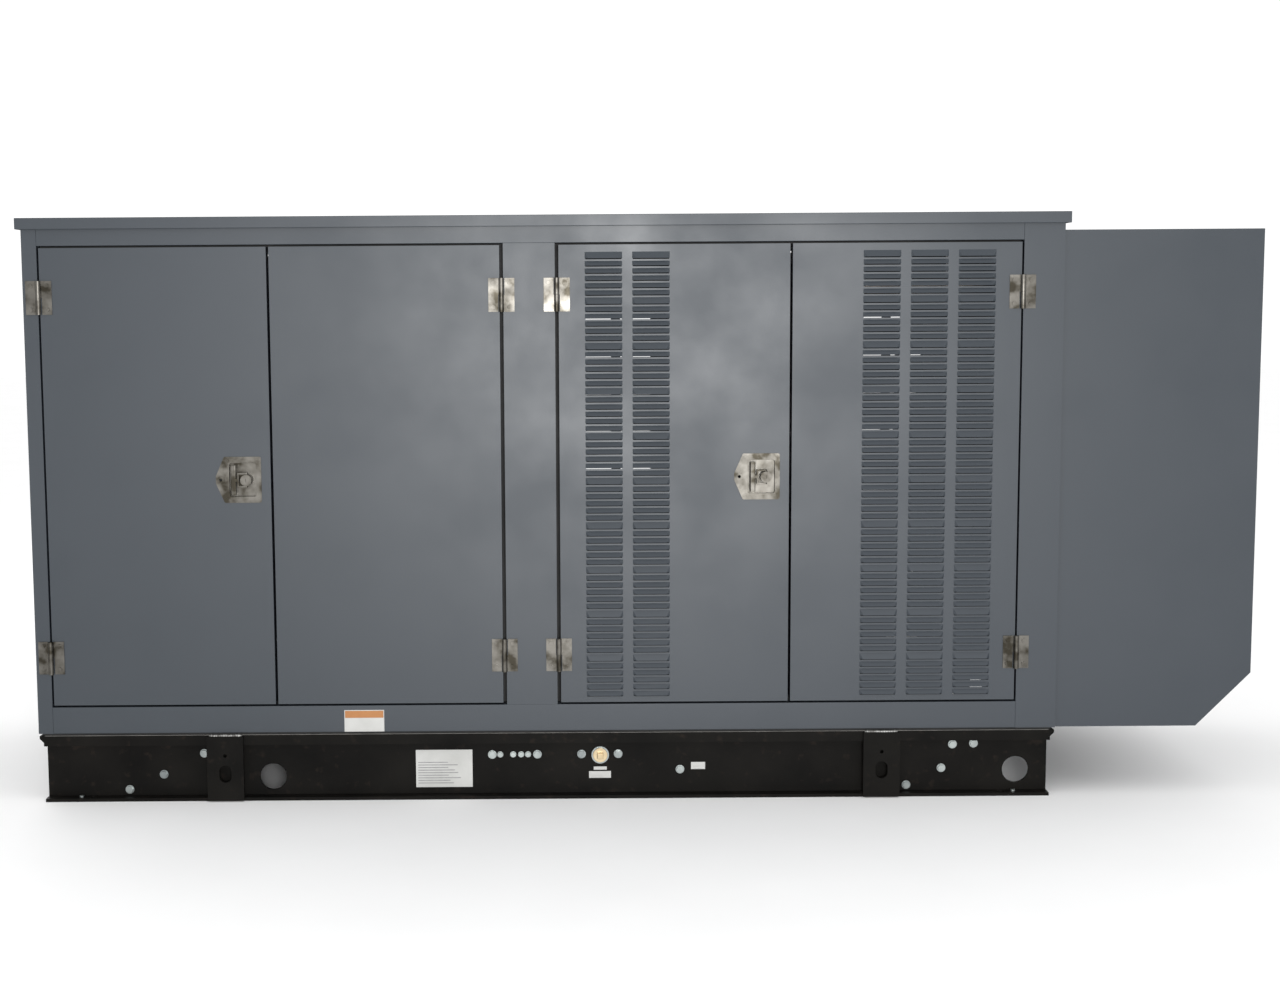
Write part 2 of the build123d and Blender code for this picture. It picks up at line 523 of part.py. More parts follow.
# ---- hinges ----
def hinge_leaf(axis_x, side, z, upper):
    """Leaf on one side of the axis; its knuckle is the upper or the lower half."""
    half = HINGE_HEIGHT / 2
    z0 = z + KNUCKLE_GAP / 2 if upper else z - half
    z1 = z + half if upper else z - KNUCKLE_GAP / 2
    face0, face1 = FRONT - LEAF_THICK, FRONT
    inner = KNUCKLE_R + 1.5
    span = sorted((axis_x + side * inner, axis_x + side * LEAF_WIDTH))
    root = sorted((axis_x, axis_x + side * inner))
    leaf = block(*span, face0, face1, z - half, z + half)
    leaf += block(*root, face0, face1 - 0.5, z0, z1)
    leaf += rod("z", KNUCKLE_R, (axis_x, AXIS_Y, z0), z1 - z0)
    bore = PIN_R + PIN_CLEAR if upper else PIN_R
    leaf -= rod("z", bore, (axis_x, AXIS_Y, z0 - 1), z1 - z0 + 2)
    offset = HINGE_SCREW_SPACING / 2
    for dz in (-offset, offset):
        x = axis_x + side * HINGE_SCREW_OUT
        leaf -= rod("y", SCREW_HOLE_R, (x, face0 - 1, z + dz), LEAF_THICK + 2)
    return leaf


def hinge_screws(axis_x, side):
    """Pan-head screws through one side's leaves."""
    x = axis_x + side * HINGE_SCREW_OUT
    return [pan_screw(x, FRONT - LEAF_THICK, z) for z in hinge_screw_heights()]


def pan_screw(x, y, z):
    head = rod("y", SCREW_HEAD_R, (x, y - SCREW_HEAD, z), SCREW_HEAD)
    return head + rod("y", SCREW_R, (x, y, z), SCREW_LENGTH)


doors = {1: (DOOR_1_X0, DOOR_1_X1, HINGE_1_X, 1), 2: (DOOR_2_X0, DOOR_2_X1, HINGE_2_X, -1),
         3: (DOOR_3_X0, DOOR_3_X1, HINGE_3_X, 1), 4: (DOOR_4_X0, DOOR_4_X1, HINGE_4_X, -1)}
frame_leaves = []
frame_screws = []
pins = []
for x0, x1, axis_x, side in doors.values():
    frame_screws += hinge_screws(axis_x, -side)
    for z in HINGE_Z:
        frame_leaves.append(hinge_leaf(axis_x, -side, z, upper=False))
        pins.append(rod("z", PIN_R, (axis_x, AXIS_Y, z - HINGE_HEIGHT / 2), HINGE_HEIGHT - 2))
save("frame_hinges", *frame_leaves, *pins, *frame_screws)


# ---- latch ----
def latch_plate(hub_x):
    """Dished plate with a tapered nose and a raised eyelet, and the spindle's bearing hole."""
    x0, x1 = hub_x + PLATE_FROM_HUB - PLATE_WIDTH, hub_x + PLATE_FROM_HUB
    z0, z1 = LATCH_Z - PLATE_HEIGHT / 2, LATCH_Z + PLATE_HEIGHT / 2
    nose = 9.5
    outline = [(x0, z0), (x1, z0), (x1, z1), (x0, z1), (x0 - NOSE, LATCH_Z + nose),
               (x0 - NOSE, LATCH_Z - nose)]
    plane = Plane(origin=(0, FRONT, 0), x_dir=(1, 0, 0), z_dir=(0, -1, 0))
    plate = prism(plane, outline, PLATE_THICK)
    plate = fillet(plate.edges().filter_by(Axis.Y), PLATE_CORNER)
    dish_x = (x0 + x1) / 2
    dish = block(dish_x - DISH_WIDTH / 2, dish_x + DISH_WIDTH / 2, FRONT - PLATE_THICK, FRONT + DISH_DEPTH,
                 LATCH_Z - DISH_HEIGHT / 2, LATCH_Z + DISH_HEIGHT / 2)
    wall = 1.5
    hollow = block(dish_x - DISH_WIDTH / 2 + wall, dish_x + DISH_WIDTH / 2 - wall, FRONT - PLATE_THICK - 1,
                   FRONT + DISH_DEPTH - wall, LATCH_Z - DISH_HEIGHT / 2 + wall,
                   LATCH_Z + DISH_HEIGHT / 2 - wall)
    dish = fillet(dish.edges().filter_by(Axis.Y), DISH_CORNER)
    hollow = fillet(hollow.edges().filter_by(Axis.Y), DISH_CORNER - wall)
    eye_x = x0 - NOSE / 2 + 2
    plate += rod("y", 10, (eye_x, FRONT - PLATE_THICK - 2, LATCH_Z), 3)
    plate = plate + dish - hollow
    # bearing boss behind the dish, then the eyelet hole, spindle hole and rivet holes
    plate += rod("y", HUB_R, (hub_x, FRONT + DISH_DEPTH - wall, LATCH_Z), 8)
    plate -= rod("y", SPINDLE_R + RUN_CLEAR, (hub_x, FRONT, LATCH_Z), DISH_DEPTH + 20)
    plate -= rod("y", 4, (eye_x, FRONT - 10, LATCH_Z), 20)
    for x, z in rivet_places(hub_x):
        plate -= rod("y", 2.75, (x, FRONT - 5, z), 8)
    return plate


def rivet_places(hub_x):
    middle = hub_x + PLATE_FROM_HUB - PLATE_WIDTH / 2
    return [(middle + dx, LATCH_Z + dz) for dx in (-43.5, 43.5) for dz in (-53, 53)]


def rivet(x, z):
    head = rod("y", 4.5, (x, FRONT - PLATE_THICK - 1.6, z), 1.6)
    return head + rod("y", 2.5, (x, FRONT - PLATE_THICK, z), PLATE_THICK + DOOR_SHEET + 3)


TONGUE_Y = FRONT + DOOR_DEPTH + 5
BAR_Y = FRONT - PLATE_THICK - 7
HUB_FRONT = BAR_Y - BAR_THICK / 2 - 9
FORK_GAP = 0.5
FORK_PIN_R = 2.5
YOKE_WALL = 4.0
STEM_HALF = 4.0
YOKE_REACH = math.hypot(HUB_R, BAR_Y - HUB_FRONT) + FORK_GAP


def latch_spindle(hub_x):
    """Hub, spindle and tongue; the tongue hangs down until the handle is turned."""
    seat = FRONT + DISH_DEPTH - 2
    hub = rod("y", HUB_R, (hub_x, HUB_FRONT, LATCH_Z), seat - HUB_FRONT)
    hub += rod("y", SPINDLE_R, (hub_x, seat, LATCH_Z), TONGUE_Y + TONGUE_THICK - seat + 4)
    hub += block(hub_x - 11, hub_x + 11, TONGUE_Y, TONGUE_Y + TONGUE_THICK,
                 LATCH_Z - TONGUE_LENGTH, LATCH_Z + 11)
    hub -= rod("y", PLUG_R + RUN_CLEAR, (hub_x, HUB_FRONT - 1, LATCH_Z), 9)
    hub += rod("z", FORK_PIN_R, (hub_x, BAR_Y, LATCH_Z - HUB_R - 5), 2 * HUB_R + 10)
    return hub


def latch_handle(hub_x):
    """Folding T: a cross-bar on a stem, and a yoke that turns on the hub's cross pin."""
    bar_x = hub_x - BAR_OUT
    bar = block(bar_x - BAR_WIDTH / 2, bar_x + BAR_WIDTH / 2, BAR_Y - BAR_THICK / 2, BAR_Y + BAR_THICK / 2,
                LATCH_Z - BAR_LENGTH / 2, LATCH_Z + BAR_LENGTH / 2)
    bar = fillet(bar.edges().filter_by(Axis.Z), 2.5)
    inside = HUB_R + FORK_GAP
    outside = inside + YOKE_WALL
    back_x = hub_x - YOKE_REACH
    half = BAR_THICK / 2 - 0.1
    faces = (BAR_Y - half, BAR_Y + half)
    bar += block(bar_x, back_x, *faces, LATCH_Z - STEM_HALF, LATCH_Z + STEM_HALF)
    bar += block(back_x - YOKE_WALL, back_x, *faces, LATCH_Z - outside, LATCH_Z + outside)
    for z0, z1 in ((LATCH_Z - outside, LATCH_Z - inside), (LATCH_Z + inside, LATCH_Z + outside)):
        arm = block(back_x - YOKE_WALL, hub_x, *faces, z0, z1)
        arm += rod("z", half, (hub_x, BAR_Y, z0), z1 - z0)
        arm -= rod("z", FORK_PIN_R + RUN_CLEAR, (hub_x, BAR_Y, z0 - 1), z1 - z0 + 2)
        bar += arm
    return bar


def lock_plug(hub_x):
    plug = rod("y", PLUG_R, (hub_x, HUB_FRONT - 0.5, LATCH_Z), 8)
    return plug - block(hub_x - 0.8, hub_x + 0.8, HUB_FRONT - 1, HUB_FRONT + 4, LATCH_Z - 4, LATCH_Z + 4)


# ---- doors ----
def door_panel(number):
    x0, x1, axis_x, side = doors[number]
    panel = pan(x0, x1, FRONT, FRONT + DOOR_DEPTH, DOOR_Z0, DOOR_Z1, DOOR_SHEET, "y")
    holes = []
    for z in hinge_screw_heights():
        holes.append(rod("y", SCREW_HOLE_R, (axis_x + side * HINGE_SCREW_OUT, FRONT - 1, z), DOOR_SHEET + 2))
    if number in (1, 3):
        hub_x = x1 - HUB_FROM_EDGE
        middle = hub_x + PLATE_FROM_HUB - PLATE_WIDTH / 2
        holes.append(block(middle - DISH_WIDTH / 2 - 1, middle + DISH_WIDTH / 2 + 1, FRONT - 1, FRONT + 4,
                           LATCH_Z - DISH_HEIGHT / 2 - 1, LATCH_Z + DISH_HEIGHT / 2 + 1))
        eye_x = hub_x + PLATE_FROM_HUB - PLATE_WIDTH - NOSE / 2 + 2
        holes.append(rod("y", 5, (eye_x, FRONT - 1, LATCH_Z), DOOR_SHEET + 2))
        for x, z in rivet_places(hub_x):
            holes.append(rod("y", 2.75, (x, FRONT - 1, z), DOOR_SHEET + 2))
    panel = panel.cut(*holes)
    if number == 3:
        panel = louvred(panel, x0 + LOUVRE_INSET_3, 2, DOOR_Z0 + LOUVRE_START, DOOR_GROUPS)
    if number == 4:
        panel = louvred(panel, x1 - LOUVRE_BANK_4, 3, DOOR_Z0 + LOUVRE_START, DOOR_GROUPS)
    return panel


for number, (x0, x1, axis_x, side) in doors.items():
    save(f"door_{number}_panel", door_panel(number))
    hardware = [hinge_leaf(axis_x, side, z, upper=True) for z in HINGE_Z]
    hardware += hinge_screws(axis_x, side)
    if number in (1, 3):
        hub_x = x1 - HUB_FROM_EDGE
        save(f"latch_{number}_plate", latch_plate(hub_x))
        save(f"latch_{number}_spindle", latch_spindle(hub_x))
        save(f"latch_{number}_handle", latch_handle(hub_x))
        save(f"latch_{number}_lock_plug", lock_plug(hub_x))
        hardware += [rivet(x, z) for x, z in rivet_places(hub_x)]
    else:
        # keeper plate behind the free edge, pulled by the neighbour's tongue
        keeper = block(x0, x0 + 45, FRONT + DOOR_DEPTH, FRONT + DOOR_DEPTH + 3, LATCH_Z - 40, LATCH_Z + 40)
        hardware.append(keeper)
    save(f"door_{number}_hardware", *hardware)

# ---- power unit ----
crank = rod("x", SHAFT_R, (ALT_X0 - 20, 0, CRANK_Z), BLOCK_X1 + 60 - ALT_X0)
ROTOR_R = ALT_R - ALT_WALL - 6
rotor = rod("x", ROTOR_R, (ALT_X0 + 90, 0, CRANK_Z), 560) - rod("x", SHAFT_R, (ALT_X0 + 80, 0, CRANK_Z), 580)
rotor -= rod("x", ROTOR_R - 60, (ALT_X0 + 80, 0, CRANK_Z), 240)
rotor = rotor - rod("x", ROTOR_R - 60, (ALT_X0 + 420, 0, CRANK_Z), 240)
save("crankshaft", crank)
save("alternator_rotor", rotor)

BORE = SHAFT_R + RUN_CLEAR
alternator = rod("x", ALT_R, (ALT_X0, 0, CRANK_Z), ALT_LENGTH)
alternator -= rod("x", ALT_R - ALT_WALL, (ALT_X0 + 30, 0, CRANK_Z), ALT_LENGTH - 60)
alternator += rod("x", 70, (ALT_X0 - 12, 0, CRANK_Z), 12)
for number in range(24):
    turn = Pos(0, 0, CRANK_Z) * Rot(number * 15, 0, 0)
    alternator += turn * block(ALT_X0 + 150, ALT_X0 + ALT_LENGTH - 130, -5, 5, ALT_R - 5, ALT_R + 14)
alternator -= rod("x", BORE, (ALT_X0 - 20, 0, CRANK_Z), ALT_LENGTH + 40)
save("alternator_housing", alternator)
bell = rod("x", 255, (BLOCK_X0 - 40, 0, CRANK_Z), 40) - rod("x", 215, (BLOCK_X0 - 30, 0, CRANK_Z), 30)
bell -= rod("x", BORE, (BLOCK_X0 - 50, 0, CRANK_Z), 60)


def on_bank(side, shape):
    """Shape drawn with its bank upright above the crank, tipped over to one side."""
    return Pos(0, 0, CRANK_Z) * Rot(side * BANK_ANGLE, 0, 0) * shape


DECK = 300.0
BANK_WIDTH = 170.0
HEAD_HEIGHT = 85.0
engine = block(BLOCK_X0, BLOCK_X1, -150, 150, CRANK_Z - 90, CRANK_Z + 100)
engine += rod("x", 100, (BLOCK_X1, 0, CRANK_Z), 18)
for side in (-1, 1):
    engine += on_bank(side, block(BLOCK_X0 + 20, BLOCK_X1 - 20, -BANK_WIDTH / 2, BANK_WIDTH / 2, 60, DECK))
engine -= rod("x", 85, (BLOCK_X0 + 30, 0, CRANK_Z), BLOCK_LENGTH - 60)
bore_pitch = (BLOCK_LENGTH - 40) / CYLINDERS
for side in (-1, 1):
    for number in range(CYLINDERS):
        x = BLOCK_X0 + 20 + (number + 0.5) * bore_pitch
        engine -= on_bank(side, rod("z", BORE_R, (x, 0, 70), DECK))
engine -= rod("x", BORE, (BLOCK_X0 - 10, 0, CRANK_Z), BLOCK_LENGTH + 60)
heads = []
covers = []
manifolds = []
for side in (-1, 1):
    heads.append(on_bank(side, block(BLOCK_X0 + 20, BLOCK_X1 - 20, -BANK_WIDTH / 2, BANK_WIDTH / 2,
                                     DECK, DECK + HEAD_HEIGHT)))
    cover = block(BLOCK_X0 + 30, BLOCK_X1 - 30, -60, 60, DECK + HEAD_HEIGHT, DECK + HEAD_HEIGHT + 60)
    cover = fillet(cover.edges().group_by(Axis.Z)[-1] + cover.edges().filter_by(Axis.Z), 18)
    covers.append(on_bank(side, cover))
    outer = -side * (BANK_WIDTH / 2)
    log_y = outer - side * 40
    log = rod("x", 32, (BLOCK_X0 + 30, log_y, DECK + 35), BLOCK_LENGTH - 60)
    for number in range(CYLINDERS):
        x = BLOCK_X0 + 20 + (number + 0.5) * bore_pitch
        y0, y1 = sorted((outer, log_y))
        log += block(x - 20, x + 20, y0, y1, DECK + 15, DECK + 55)
    manifolds.append(on_bank(side, log))
save("cylinder_heads", *heads)
save("valve_covers", *covers)
save("exhaust_manifolds", *manifolds)

pan_points = [(-140, CRANK_Z - 90), (140, CRANK_Z - 90), (100, CRANK_Z - 210), (-100, CRANK_Z - 210)]
sump_plane = Plane(origin=(BLOCK_X0 + 10, 0, 0), x_dir=(0, 1, 0), z_dir=(1, 0, 0))
sump = prism(sump_plane, pan_points, BLOCK_LENGTH - 30)
inner_points = [(-134, CRANK_Z - 90), (134, CRANK_Z - 90), (95, CRANK_Z - 205), (-95, CRANK_Z - 205)]
sump -= prism(sump_plane.offset(5), inner_points, BLOCK_LENGTH - 40)
save("oil_pan", sump)

INTAKE_Z = CRANK_Z + 300
intake = block(BLOCK_X0 + 70, BLOCK_X1 - 70, -70, 70, INTAKE_Z, INTAKE_Z + 70)
intake = fillet(intake.edges().filter_by(Axis.Z), 25)
intake += rod("z", 45, (BLOCK_X0 + 300, 0, INTAKE_Z + 60), 60)
save("intake_manifold", intake)
cleaner = rod("z", 150, (BLOCK_X0 + 300, 0, INTAKE_Z + 120), 110)
cleaner += rod("z", 158, (BLOCK_X0 + 300, 0, INTAKE_Z + 230), 8)
cleaner += rod("z", 158, (BLOCK_X0 + 300, 0, INTAKE_Z + 120), 8)
save("air_cleaner", cleaner)

# skid rails, feet and isolators
SKID_Z0 = BASE_HEIGHT + 60
SKID_Z1 = SKID_Z0 + 60
SKID_Y = 215.0
skids = []
feet = []
isolators = []
for side in (-1, 1):
    y = side * SKID_Y
    skids.append(tube(CROSS_X[1] - CROSS_WIDTH / 2, CROSS_X[3] + CROSS_WIDTH / 2,
                      y - 25, y + 25, SKID_Z0, SKID_Z1, 6, "x"))
    for x in (CROSS_X[1], CROSS_X[2], CROSS_X[3]):
        isolators.append(rod("z", 32, (x, y, BASE_HEIGHT), SKID_Z0 - BASE_HEIGHT))
    for x in (ALT_X0 + 130, ALT_X0 + 630):
        body = block(x - 40, x + 40, y - 22, y + 22, SKID_Z1, CRANK_Z - 80)
        feet.append(body - rod("x", ALT_R + 16, (x - 60, 0, CRANK_Z), 120))
    arm = sorted((side * 150, side * (SKID_Y + 22)))
    upright = sorted((side * (SKID_Y - 22), side * (SKID_Y + 22)))
    for x in (BLOCK_X0 + 100, BLOCK_X1 - 170):
        foot = block(x - 35, x + 35, *upright, SKID_Z1, CRANK_Z - 20)
        feet.append(foot + block(x - 35, x + 35, *arm, CRANK_Z - 60, CRANK_Z - 20))
save("skid_rails", *skids, *feet)
save("rubber_isolators", *isolators)

# ---- fan drive and cooling ----
PULLEY_X = BLOCK_X1 + 30
GROOVE = 3.0


def pulley(radius, z, bore):
    wheel = rod("x", radius + GROOVE, (PULLEY_X, 0, z), PULLEY_WIDTH)
    ring = rod("x", radius + GROOVE + 1, (PULLEY_X + 5, 0, z), PULLEY_WIDTH - 10)
    wheel -= ring - rod("x", radius, (PULLEY_X + 4, 0, z), PULLEY_WIDTH - 8)
    if bore:
        wheel -= rod("x", bore, (PULLEY_X - 1, 0, z), PULLEY_WIDTH + 2)
    return wheel


save("crank_pulley", pulley(CRANK_PULLEY_R, CRANK_Z, SHAFT_R))
FAN_SHAFT_R = 12.0
pump_x = BLOCK_X1
pump = block(pump_x, pump_x + 20, -60, 60, CRANK_Z + 130, FAN_Z + 60)
pump -= rod("x", FAN_SHAFT_R + RUN_CLEAR, (pump_x - 1, 0, FAN_Z), 22)
pump += block(pump_x - 60, pump_x, -60, -40, CRANK_Z + 150, FAN_Z)
pump += block(pump_x - 60, pump_x, 40, 60, CRANK_Z + 150, FAN_Z)
save("engine_block", engine, bell, pump)
fan = pulley(FAN_PULLEY_R, FAN_Z, 0)
fan += rod("x", FAN_SHAFT_R, (pump_x + 0.5, 0, FAN_Z), FAN_X - pump_x + 40)
fan += rod("x", 70, (FAN_X, 0, FAN_Z), 40)
BLADE_COUNT = 7
for number in range(BLADE_COUNT):
    blade = Pos(FAN_X + 20, 0, (60 + FAN_R) / 2) * Rot(0, 0, 35) * Box(5, 95, FAN_R - 60)
    fan += Pos(0, 0, FAN_Z) * Rot(number * 360 / BLADE_COUNT, 0, 0) * blade
save("cooling_fan", fan)


def belt_loop(grow):
    """Outline round both pulleys, hull of the two circles grown by the same amount."""
    big, small, gap = CRANK_PULLEY_R + grow, FAN_PULLEY_R + grow, FAN_Z - CRANK_Z
    lean = math.asin((big - small) / gap)
    across, up = math.cos(lean), math.sin(lean)
    low, high = CRANK_Z + big * up, FAN_Z + small * up
    straight = Polyline((big * across, low), (small * across, high), (-small * across, high),
                        (-big * across, low), close=True)
    plane = Plane(origin=(PULLEY_X + 6, 0, 0), x_dir=(0, 1, 0), z_dir=(1, 0, 0))
    width = PULLEY_WIDTH - 12
    body = extrude(plane * make_face(straight), width)
    body += rod("x", big, (PULLEY_X + 6, 0, CRANK_Z), width)
    return body + rod("x", small, (PULLEY_X + 6, 0, FAN_Z), width)


save("fan_belt", belt_loop(BELT_CLEAR + BELT) - belt_loop(BELT_CLEAR))

half_width = RADIATOR_WIDTH / 2
radiator_z1 = RADIATOR_Z0 + RADIATOR_HEIGHT
radiator = block(RADIATOR_X, RADIATOR_X + RADIATOR_THICK, -half_width, half_width,
                 RADIATOR_Z0 - 60, radiator_z1 + 60)
core_depth = (RADIATOR_THICK - CORE_THICK) / 2
fin_field = block(RADIATOR_X, RADIATOR_X + core_depth, -half_width + 40, half_width - 40,
                  RADIATOR_Z0, radiator_z1)
back_field = Pos(RADIATOR_THICK - core_depth, 0, 0) * fin_field
radiator -= fin_field
radiator -= back_field
radiator += rod("z", 28, (RADIATOR_X + RADIATOR_THICK / 2, 200, radiator_z1 + 60), 20)
save("radiator", radiator)
LEG_HALF = 30.0
LEG_FOOT = 12.0
radiator_legs = []
for y in (90 - half_width, half_width - 90):
    foot = block(CROSS_X[4] - LEG_HALF, RADIATOR_X + RADIATOR_THICK, y - LEG_HALF, y + LEG_HALF,
                 BASE_HEIGHT, BASE_HEIGHT + LEG_FOOT)
    radiator_legs.append(foot + block(RADIATOR_X, RADIATOR_X + RADIATOR_THICK, y - LEG_HALF, y + LEG_HALF,
                                      BASE_HEIGHT, RADIATOR_Z0 - 60))
shroud_x = FAN_X - 5
ring = rod("x", FAN_R + 22, (shroud_x, 0, FAN_Z), 60) - rod("x", FAN_R + 18, (shroud_x - 1, 0, FAN_Z), 62)
wall = block(shroud_x + 56, shroud_x + 60, -half_width, half_width, RADIATOR_Z0, radiator_z1)
wall -= rod("x", FAN_R + 18, (shroud_x, 0, FAN_Z), 80)
sides = [block(shroud_x + 60, RADIATOR_X, -half_width, 4 - half_width, RADIATOR_Z0, radiator_z1),
         block(shroud_x + 60, RADIATOR_X, half_width - 4, half_width, RADIATOR_Z0, radiator_z1),
         block(shroud_x + 60, RADIATOR_X, 4 - half_width, half_width - 4, RADIATOR_Z0, RADIATOR_Z0 + 4),
         block(shroud_x + 60, RADIATOR_X, 4 - half_width, half_width - 4, radiator_z1 - 4, radiator_z1)]
save("fan_shroud", ring + wall, *sides)

# ---- exhaust ----
MUFFLER_X = RIGHT + 270
MUFFLER_R = 110.0
PIPE_WALL = 4.0
pipe_start = BLOCK_X1 - 160
pipe_length = MUFFLER_X - 90 - pipe_start
riser_x = pipe_start + EXHAUST_R
riser_z = INTAKE_Z + 260
exhaust = rod("x", EXHAUST_R, (pipe_start, 0, EXHAUST_Z), pipe_length)
exhaust += rod("z", EXHAUST_R, (riser_x, 0, riser_z), EXHAUST_Z - riser_z)
muffler = rod("y", MUFFLER_R, (MUFFLER_X, -330, EXHAUST_Z - 60), 660)
muffler -= rod("y", MUFFLER_R - PIPE_WALL, (MUFFLER_X, PIPE_WALL - 330, EXHAUST_Z - 60), 660 - 2 * PIPE_WALL)
muffler -= exhaust
exhaust -= rod("x", EXHAUST_R - PIPE_WALL, (pipe_start + PIPE_WALL, 0, EXHAUST_Z), pipe_length)
exhaust -= rod("z", EXHAUST_R - PIPE_WALL, (riser_x, 0, riser_z - 1), EXHAUST_Z - riser_z)
save("exhaust_system", muffler, exhaust)

# hoses between the engine and the radiator's two tanks
HOSE_R = 24.0
hoses = []
hose_x = BLOCK_X1 + 75
head_middle = (DECK + HEAD_HEIGHT / 2) * math.sin(math.radians(BANK_ANGLE))
upper = ((200.0, radiator_z1 + 30), (head_middle, CRANK_Z + head_middle, BLOCK_X1 - 20))
lower = ((-250.0, RADIATOR_Z0 - 30), (-122.0, CRANK_Z - 60, BLOCK_X1))
for (y, z), (end_y, end_z, end_x) in (upper, lower):
    route = FilletPolyline((RADIATOR_X, y, z), (hose_x, y, z), (hose_x, end_y, end_z),
                           (end_x, end_y, end_z), radius=60)
    hoses.append(sweep(Plane(origin=route @ 0, z_dir=route % 0) * Circle(HOSE_R), route))
save("radiator_hoses", *hoses)

# ---- electrical ----
SHELF = 4.0
SHELF_TOP = BASE_HEIGHT + SHELF
battery = block(LEFT + 530, LEFT + 764, FRONT + 178, FRONT + 348, SHELF_TOP, SHELF_TOP + 206)
battery = fillet(battery.edges().filter_by(Axis.Z), 6)
for x in (LEFT + 562, LEFT + 732):
    battery += rod("z", 9, (x, FRONT + 218, SHELF_TOP + 205), 18)
save("battery", battery)
shelf = block(CROSS_X[0] - CROSS_WIDTH / 2, CROSS_X[1] - CROSS_WIDTH / 2 + 3,
              FRONT + 158, FRONT + 368, BASE_HEIGHT, SHELF_TOP)

PANEL_Y = FRONT + 128.0
box_x = (LEFT + 152.0, LEFT + 532.0)
box_z = (LATCH_Z - 65.0, LATCH_Z + 415.0)
control = block(*box_x, PANEL_Y, PANEL_Y + 160, *box_z) - block(box_x[0] + 3, box_x[1] - 3, PANEL_Y + 3,
                                                                 PANEL_Y + 157, box_z[0] + 3, box_z[1] - 3)
STOP_X, SWITCH_X, BUTTON_Z = box_x[1] - 100.0, box_x[0] + 120.0, box_z[0] + 120.0
control -= rod("y", 8 + RUN_CLEAR, (STOP_X, PANEL_Y - 1, BUTTON_Z), 6)
control -= rod("y", 6 + RUN_CLEAR, (SWITCH_X, PANEL_Y - 1, BUTTON_Z), 6)
save("control_box", control)
save("control_screen", block(box_x[0] + 90, box_x[1] - 90, PANEL_Y - 12, PANEL_Y,
                             box_z[0] + 240, box_z[0] + 380))
save("emergency_stop_button", rod("y", 20, (STOP_X, PANEL_Y - 24, BUTTON_Z), 14)
     + rod("y", 8, (STOP_X, PANEL_Y - 10, BUTTON_Z), 30))
switch = rod("y", 16, (SWITCH_X, PANEL_Y - 10, BUTTON_Z), 9.5)
switch += rod("y", 6, (SWITCH_X, PANEL_Y - 1, BUTTON_Z), 20)
switch += block(SWITCH_X - 4, SWITCH_X + 4, PANEL_Y - 22, PANEL_Y - 10, BUTTON_Z - 16, BUTTON_Z + 16)
save("mode_switch", switch)

BREAKER_X, BREAKER_Z = LEFT + 832.0, LATCH_Z + 175.0
breaker = block(BREAKER_X - 110, BREAKER_X + 110, PANEL_Y, PANEL_Y + 160, BREAKER_Z - 210, BREAKER_Z + 210)
breaker -= block(BREAKER_X - 14, BREAKER_X + 14, PANEL_Y - 1, PANEL_Y + 60, BREAKER_Z - 45, BREAKER_Z + 45)
save("breaker_box", breaker)
PIVOT_Y = PANEL_Y + 30
toggle = rod("x", 9, (BREAKER_X - 13, PIVOT_Y, BREAKER_Z), 26)
toggle += block(BREAKER_X - 9, BREAKER_X + 9, PIVOT_Y - 65, PIVOT_Y, BREAKER_Z - 6, BREAKER_Z + 6)
save("breaker_handle", toggle)
stand = []
for x in (box_x[0] + 30, box_x[1] - 30, BREAKER_X - 40):
    stand.append(tube(x - 20, x + 20, PANEL_Y + 160, PANEL_Y + 200, SHELF_TOP, box_z[1], 3, "z"))
save("inner_brackets", *stand, shelf, *radiator_legs)
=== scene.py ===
"""Looks for the enclosed standby generator set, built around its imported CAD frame. Metres."""
import json
import math
import random

import bmesh
import bpy
from mathutils import Matrix, Vector


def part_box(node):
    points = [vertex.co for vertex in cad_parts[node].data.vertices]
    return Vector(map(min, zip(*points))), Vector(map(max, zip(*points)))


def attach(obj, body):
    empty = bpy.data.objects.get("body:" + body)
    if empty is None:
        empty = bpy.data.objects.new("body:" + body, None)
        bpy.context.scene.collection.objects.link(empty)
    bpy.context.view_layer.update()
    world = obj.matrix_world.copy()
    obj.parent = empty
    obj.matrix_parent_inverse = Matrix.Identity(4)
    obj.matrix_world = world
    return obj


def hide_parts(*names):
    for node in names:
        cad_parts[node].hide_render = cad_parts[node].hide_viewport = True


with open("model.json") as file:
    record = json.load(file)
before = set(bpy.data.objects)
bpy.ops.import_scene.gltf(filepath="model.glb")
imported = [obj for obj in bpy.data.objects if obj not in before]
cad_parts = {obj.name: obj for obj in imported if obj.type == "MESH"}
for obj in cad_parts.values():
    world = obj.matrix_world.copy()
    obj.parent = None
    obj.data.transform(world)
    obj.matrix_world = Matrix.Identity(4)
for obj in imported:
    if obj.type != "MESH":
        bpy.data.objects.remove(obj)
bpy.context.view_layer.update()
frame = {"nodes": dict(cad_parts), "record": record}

nodes = frame["nodes"]
slot_of = {entry["node"]: entry["material_slot"] for entry in frame["record"]["subparts"]}
body_of_node = {name: body for body, names in frame["record"]["behaviour"]["bodies"].items() for name in names}
scene = bpy.context.scene


